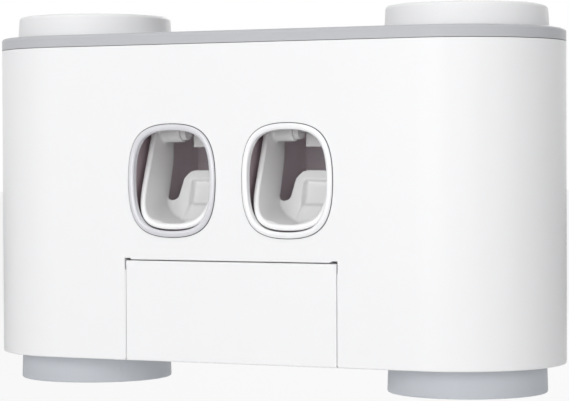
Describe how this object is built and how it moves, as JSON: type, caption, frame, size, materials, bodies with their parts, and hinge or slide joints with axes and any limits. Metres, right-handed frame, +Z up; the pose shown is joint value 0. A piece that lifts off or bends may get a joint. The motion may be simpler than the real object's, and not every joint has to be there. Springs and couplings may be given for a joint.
{
  "type": "toothpaste dispenser",
  "caption": "Wall-hung white toothpaste dispenser with ring-trimmed squeezer windows, lidded cups above, grey cups below and a flap over a brush rack.",
  "frame": {"origin": "middle of the back face of the adhesive pad, where the wall bracket meets the wall", "axes": "+X right along the front as seen by someone facing it, +Y into the wall, +Z up"},
  "size_m": [0.31, 0.11, 0.1922],
  "materials": {
    "white_shell": "glossy moulded ABS",
    "white_cup": "smooth moulded polypropylene",
    "white_lever": "smooth moulded ABS",
    "grey_plate": "satin moulded ABS",
    "grey_cup": "satin moulded polypropylene",
    "ring": "polished white ring",
    "chamber": "mauve grey moulded ABS",
    "inner_white": "moulded ABS",
    "pump_plastic": "moulded polypropylene",
    "soft_rubber": "soft silicone",
    "steel": "plain steel",
    "magnet": "nickel-plated magnet",
    "pad": "closed-cell foam tape"
  },
  "bodies": {
    "wall_bracket": {"wall_bracket": "inner_white", "bracket_pad": "pad"},
    "housing": {"outer_shell": "white_shell", "top_plate": "grey_plate", "base_plate": "inner_white", "base_screws": "steel", "back_panel": "inner_white", "back_panel_screws": "steel", "left_window_trim": "ring", "right_window_trim": "ring", "left_squeezer_frame": "chamber", "right_squeezer_frame": "chamber", "left_frame_screws": "steel", "right_frame_screws": "steel", "left_pivot_pin": "steel", "right_pivot_pin": "steel", "left_pump_body": "pump_plastic", "right_pump_body": "pump_plastic", "left_pump_screws": "steel", "right_pump_screws": "steel", "left_pump_cap": "pump_plastic", "right_pump_cap": "pump_plastic", "left_tube_seal": "soft_rubber", "right_tube_seal": "soft_rubber", "left_inlet_valve": "soft_rubber", "right_inlet_valve": "soft_rubber", "left_outlet_valve": "soft_rubber", "right_outlet_valve": "soft_rubber", "left_return_spring": "steel", "right_return_spring": "steel", "left_cup_sleeve": "inner_white", "right_cup_sleeve": "inner_white", "left_cup_magnet": "magnet", "right_cup_magnet": "magnet", "brush_rack": "inner_white"},
    "flap": {"front_flap": "white_shell", "flap_pins": "steel"},
    "left_lever": {"left_squeeze_lever": "white_lever"},
    "left_pump_piston": {"left_piston": "pump_plastic", "left_piston_seal": "soft_rubber"},
    "left_cup": {"left_upper_cup": "white_cup"},
    "left_lid": {"left_cup_lid": "white_cup"},
    "left_hanging_cup": {"left_lower_cup": "grey_cup", "left_cup_disc": "steel"},
    "right_lever": {"right_squeeze_lever": "white_lever"},
    "right_pump_piston": {"right_piston": "pump_plastic", "right_piston_seal": "soft_rubber"},
    "right_cup": {"right_upper_cup": "white_cup"},
    "right_lid": {"right_cup_lid": "white_cup"},
    "right_hanging_cup": {"right_lower_cup": "grey_cup", "right_cup_disc": "steel"}
  },
  "joints": [
    {"name": "housing_lift", "type": "slide", "parent": "wall_bracket", "child": "housing", "axis": [0, 0, 1], "range_m": [0, 0.012]},
    {"name": "flap_hinge", "type": "hinge", "parent": "housing", "child": "flap", "pos_m": [0, -0.1069, -0.0511], "axis": [-1, 0, 0], "range_deg": [0, 95]},
    {"name": "left_lever_hinge", "type": "hinge", "parent": "housing", "child": "left_lever", "pos_m": [-0.0319, -0.079, 0.0162], "axis": [1, 0, 0], "range_deg": [0, 17.5], "stiffness_Nm_per_rad": 0.2, "springref_deg": -17.19},
    {"name": "left_piston_slide", "type": "slide", "parent": "housing", "child": "left_pump_piston", "axis": [0, 0, 1], "range_m": [0, 0.0065], "deforming": ["left_return_spring"]},
    {"name": "left_cup_lift", "type": "slide", "parent": "housing", "child": "left_cup", "axis": [0, 0, 1], "range_m": [0, 0.1]},
    {"name": "left_lid_lift", "type": "slide", "parent": "left_cup", "child": "left_lid", "axis": [0, 0, 1], "range_m": [0, 0.03]},
    {"name": "left_hanging_cup_pull", "type": "slide", "parent": "housing", "child": "left_hanging_cup", "axis": [0, 0, -1], "range_m": [0, 0.1]},
    {"name": "right_lever_hinge", "type": "hinge", "parent": "housing", "child": "right_lever", "pos_m": [0.0319, -0.079, 0.0162], "axis": [1, 0, 0], "range_deg": [0, 17.5], "stiffness_Nm_per_rad": 0.2, "springref_deg": -17.19},
    {"name": "right_piston_slide", "type": "slide", "parent": "housing", "child": "right_pump_piston", "axis": [0, 0, 1], "range_m": [0, 0.0065], "deforming": ["right_return_spring"]},
    {"name": "right_cup_lift", "type": "slide", "parent": "housing", "child": "right_cup", "axis": [0, 0, 1], "range_m": [0, 0.1]},
    {"name": "right_lid_lift", "type": "slide", "parent": "right_cup", "child": "right_lid", "axis": [0, 0, 1], "range_m": [0, 0.03]},
    {"name": "right_hanging_cup_pull", "type": "slide", "parent": "housing", "child": "right_hanging_cup", "axis": [0, 0, -1], "range_m": [0, 0.1]}
  ],
  "couplings": [
    {"joint": "left_piston_slide", "follows": "left_lever_hinge", "m_per_rad": 0.021},
    {"joint": "right_piston_slide", "follows": "right_lever_hinge", "m_per_rad": 0.021}
  ]
}
